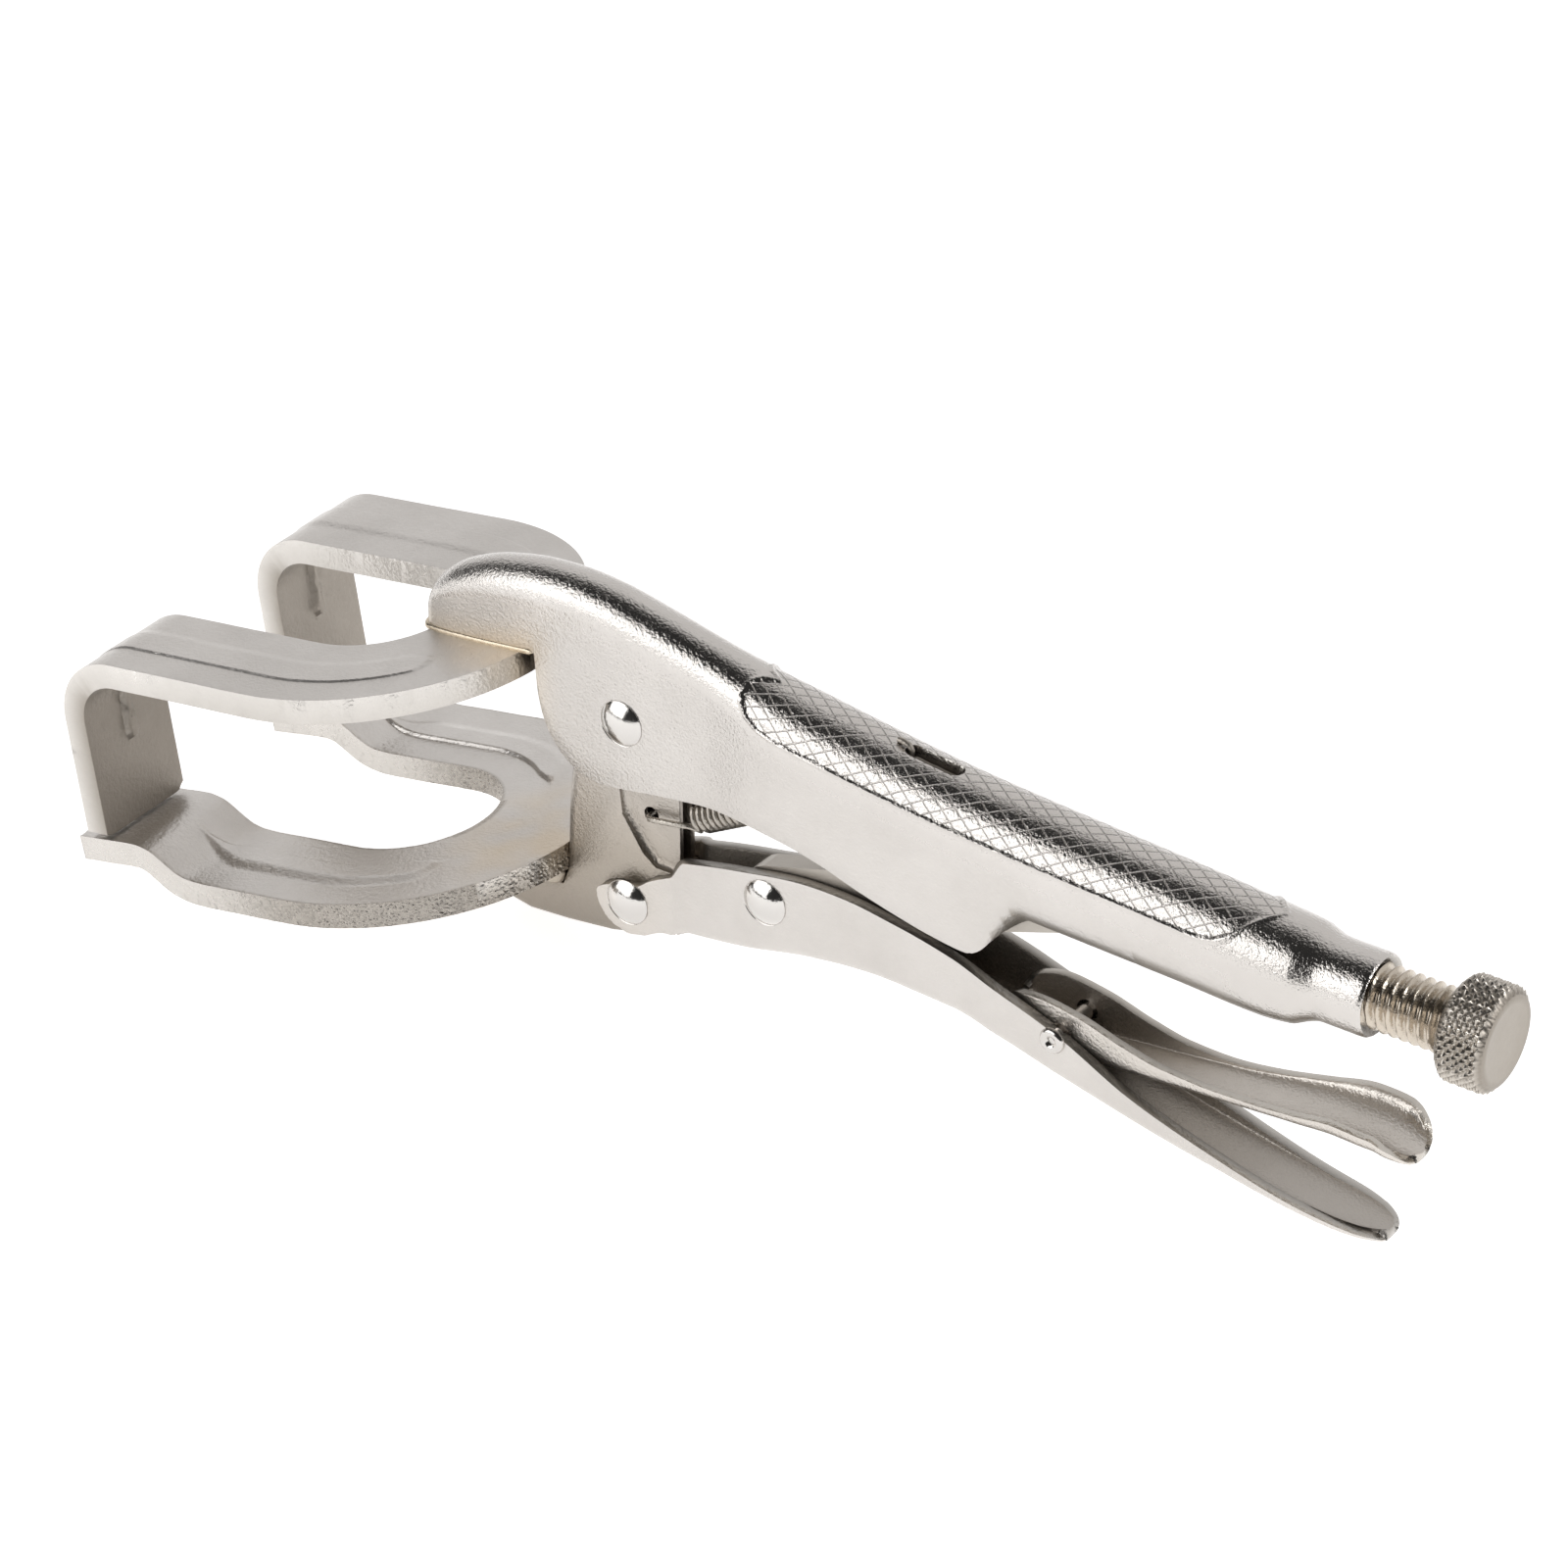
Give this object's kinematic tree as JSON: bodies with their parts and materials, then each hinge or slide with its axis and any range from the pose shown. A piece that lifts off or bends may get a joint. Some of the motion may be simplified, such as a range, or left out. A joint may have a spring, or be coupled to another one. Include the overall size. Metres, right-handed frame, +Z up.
{
  "type": "locking pliers",
  "caption": "Locking welding pliers with U-shaped jaws, knurled pressed-steel handle, toggle linkage, release lever and adjusting screw.",
  "frame": {"origin": "bottom centre of the bounding box of the closed tool, which rests on the lower jaw's bracket and the end of the lower handle", "axes": "+X from the jaws to the adjusting knob, +Y across the tool, +Z up"},
  "size_m": [0.2264, 0.063, 0.0599],
  "materials": {
    "nickel_pressings": "satin nickel plate",
    "nickel_jaws": "satin nickel plate, sheared edges",
    "braze": "brazed joint under nickel",
    "rivets": "polished",
    "screw": "threaded, dull",
    "knob": "diamond knurled",
    "spring": "bright wire"
  },
  "bodies": {
    "upper_body": {"upper_handle": "nickel_pressings", "upper_jaw_fork": "nickel_jaws", "upper_jaw_weld": "braze", "jaw_pivot_rivet": "rivets", "return_spring": "spring"},
    "lower_jaw": {"lower_jaw_bracket": "nickel_pressings", "lower_jaw_fork": "nickel_jaws", "lower_jaw_weld": "braze"},
    "lower_arm": {"lower_handle": "nickel_pressings", "handle_pivot_rivet": "rivets", "toggle_rivet": "rivets", "release_pin": "rivets"},
    "toggle": {"toggle_link": "nickel_pressings"},
    "release": {"release_lever": "nickel_pressings"},
    "screw": {"adjusting_screw": "screw"},
    "knob": {"adjusting_knob": "knob"}
  },
  "joints": [
    {"name": "jaw_hinge", "type": "hinge", "parent": "upper_body", "child": "lower_jaw", "pos_m": [-0.02955, 0, 0.0403], "axis": [0, -1, 0], "range_deg": [0, 18], "deforming": ["return_spring"]},
    {"name": "handle_hinge", "type": "hinge", "parent": "lower_jaw", "child": "lower_arm", "pos_m": [-0.02895, 0, 0.00985], "axis": [0, -1, 0], "range_deg": [-65, 0]},
    {"name": "toggle_hinge", "type": "hinge", "parent": "lower_arm", "child": "toggle", "pos_m": [-0.00495, 0, 0.01825], "axis": [0, -1, 0], "range_deg": [0, 66]},
    {"name": "release_hinge", "type": "hinge", "parent": "lower_arm", "child": "release", "pos_m": [0.04595, 0, 0.0156], "axis": [0, -1, 0], "range_deg": [-8, 0]},
    {"name": "screw_slide", "type": "slide", "parent": "upper_body", "child": "screw", "axis": [1, 0, 0], "range_m": [0, 0.025]},
    {"name": "knob_turn", "type": "hinge", "parent": "screw", "child": "knob", "pos_m": [0.10565, 0, 0.0384], "axis": [1, 0, 0], "range_deg": [0, 5671]}
  ],
  "couplings": [
    {"joint": "handle_hinge", "follows": "jaw_hinge", "ratio": -3.577},
    {"joint": "toggle_hinge", "follows": "jaw_hinge", "ratio": 3.64},
    {"joint": "knob_turn", "follows": "screw_slide", "rad_per_m": 3957.9}
  ]
}
